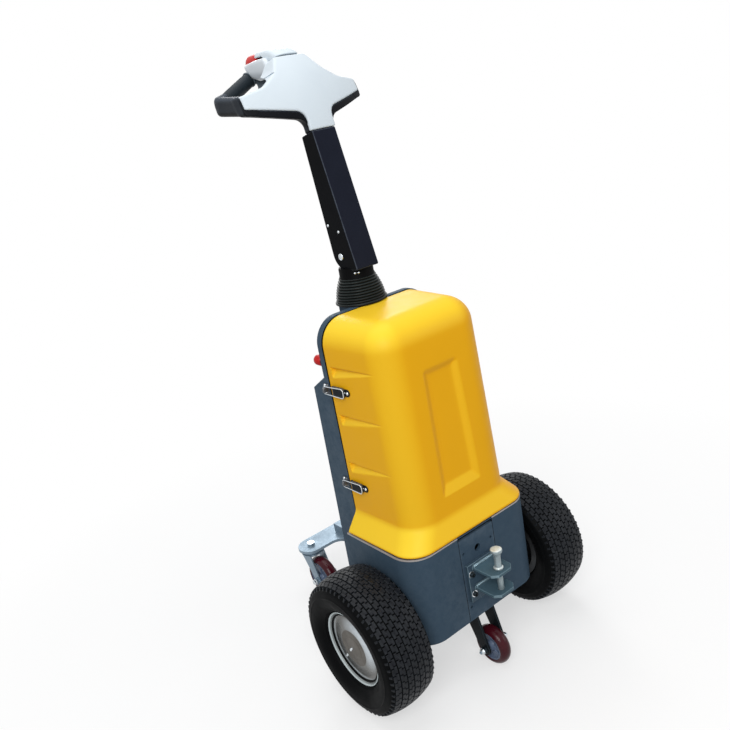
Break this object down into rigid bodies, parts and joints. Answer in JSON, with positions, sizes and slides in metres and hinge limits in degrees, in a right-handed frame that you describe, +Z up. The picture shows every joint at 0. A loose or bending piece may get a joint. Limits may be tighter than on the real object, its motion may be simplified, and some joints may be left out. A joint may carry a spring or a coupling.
{
  "type": "walk-behind electric tow tug",
  "caption": "Walk-behind electric tow tug: driven tyres under a moulded cover, front drop-pin clevis, rear swivel casters and a tilting tiller with loop grips.",
  "frame": {"origin": "on the ground, at the centre of the bounding box's underside, between the drive wheels and the rear casters", "axes": "+Z up; the tow clevis faces -Y and the operator walks behind at +Y; +X is the operator's left; X = 0 is the plane of symmetry"},
  "size_m": [0.6506, 0.6995, 1.449],
  "materials": {
    "grey_paint": "satin",
    "hitch_paint": "satin",
    "cast_metal": "matte",
    "battery": "matte",
    "yellow_shell": "semi-gloss, fine grain",
    "black_rubber": "matte",
    "black_plastic": "matte",
    "red_plastic": "gloss",
    "bright_metal": "polished",
    "black_metal": "satin",
    "zinc": "satin zinc plate",
    "arm_black": "fine matte texture",
    "white_shell": "satin",
    "grip_rubber": "satin",
    "paddle_silver": "satin",
    "tyre": "matte",
    "rim_metal": "galvanised",
    "hub_metal": "satin",
    "caster_core": "satin",
    "caster_tread": "gloss"
  },
  "bodies": {
    "chassis": {"chassis_skirt": "grey_paint", "chassis_floor": "grey_paint", "front_plate": "grey_paint", "rear_cheeks": "grey_paint", "tow_clevis": "hitch_paint", "drive_axle": "cast_metal", "battery_block": "battery", "cover": "yellow_shell", "cover_seal": "black_rubber", "column": "grey_paint", "back_panel": "grey_paint", "stop_base": "black_plastic", "stop_button": "red_plastic", "key_switch": "bright_metal", "charge_gauge": "black_plastic", "latch_bases": "black_metal", "latch_levers": "black_metal", "latch_bails": "bright_metal", "latch_catches": "bright_metal", "tiller_pedestal": "grey_paint", "pivot_pin": "bright_metal", "bellows": "black_rubber", "front_fork": "black_metal", "rear_frame": "zinc", "kingpins": "zinc"},
    "drop_pin": {"tow_pin": "bright_metal"},
    "tiller": {"tiller_post": "black_metal", "tiller_arm": "arm_black", "head_shell": "white_shell", "head_underside": "black_plastic", "head_hub": "black_plastic", "grip_left": "grip_rubber", "grip_right": "grip_rubber", "thumb_paddles": "paddle_silver", "belly_button": "red_plastic"},
    "drive_wheel_left": {"tyre_left": "tyre", "rim_left": "rim_metal", "hub_left": "hub_metal"},
    "drive_wheel_right": {"tyre_right": "tyre", "rim_right": "rim_metal", "hub_right": "hub_metal"},
    "front_wheel": {"front_wheel_core": "caster_core", "front_wheel_tread": "caster_tread"},
    "caster_left": {"caster_left_fork": "zinc"},
    "caster_right": {"caster_right_fork": "zinc"},
    "caster_wheel_left": {"caster_left_core": "caster_core", "caster_left_tread": "caster_tread"},
    "caster_wheel_right": {"caster_right_core": "caster_core", "caster_right_tread": "caster_tread"}
  },
  "joints": [
    {"name": "drive_wheel_left_spin", "type": "hinge", "parent": "chassis", "child": "drive_wheel_left", "pos_m": [0.26, -0.153, 0.165], "axis": [1, 0, 0], "continuous": true},
    {"name": "drive_wheel_right_spin", "type": "hinge", "parent": "chassis", "child": "drive_wheel_right", "pos_m": [-0.26, -0.153, 0.165], "axis": [1, 0, 0], "continuous": true},
    {"name": "front_wheel_spin", "type": "hinge", "parent": "chassis", "child": "front_wheel", "pos_m": [0, -0.276, 0.0485], "axis": [1, 0, 0], "continuous": true},
    {"name": "caster_left_swivel", "type": "hinge", "parent": "chassis", "child": "caster_left", "pos_m": [0.106, 0.312, 0.14], "axis": [0, 0, 1], "continuous": true},
    {"name": "caster_right_swivel", "type": "hinge", "parent": "chassis", "child": "caster_right", "pos_m": [-0.106, 0.312, 0.14], "axis": [0, 0, 1], "continuous": true},
    {"name": "caster_left_spin", "type": "hinge", "parent": "caster_left", "child": "caster_wheel_left", "pos_m": [0.106, 0.274, 0.0625], "axis": [1, 0, 0], "continuous": true},
    {"name": "caster_right_spin", "type": "hinge", "parent": "caster_right", "child": "caster_wheel_right", "pos_m": [-0.106, 0.274, 0.0625], "axis": [1, 0, 0], "continuous": true},
    {"name": "tiller_tilt", "type": "hinge", "parent": "chassis", "child": "tiller", "pos_m": [0, -0.004, 0.911], "axis": [-1, 0, 0], "range_deg": [0, 55], "stiffness_Nm_per_rad": 25, "springref_deg": -45.84, "deforming": ["bellows"]},
    {"name": "tow_pin_lift", "type": "slide", "parent": "chassis", "child": "drop_pin", "axis": [0, 0, 1], "range_m": [0, 0.062]}
  ]
}
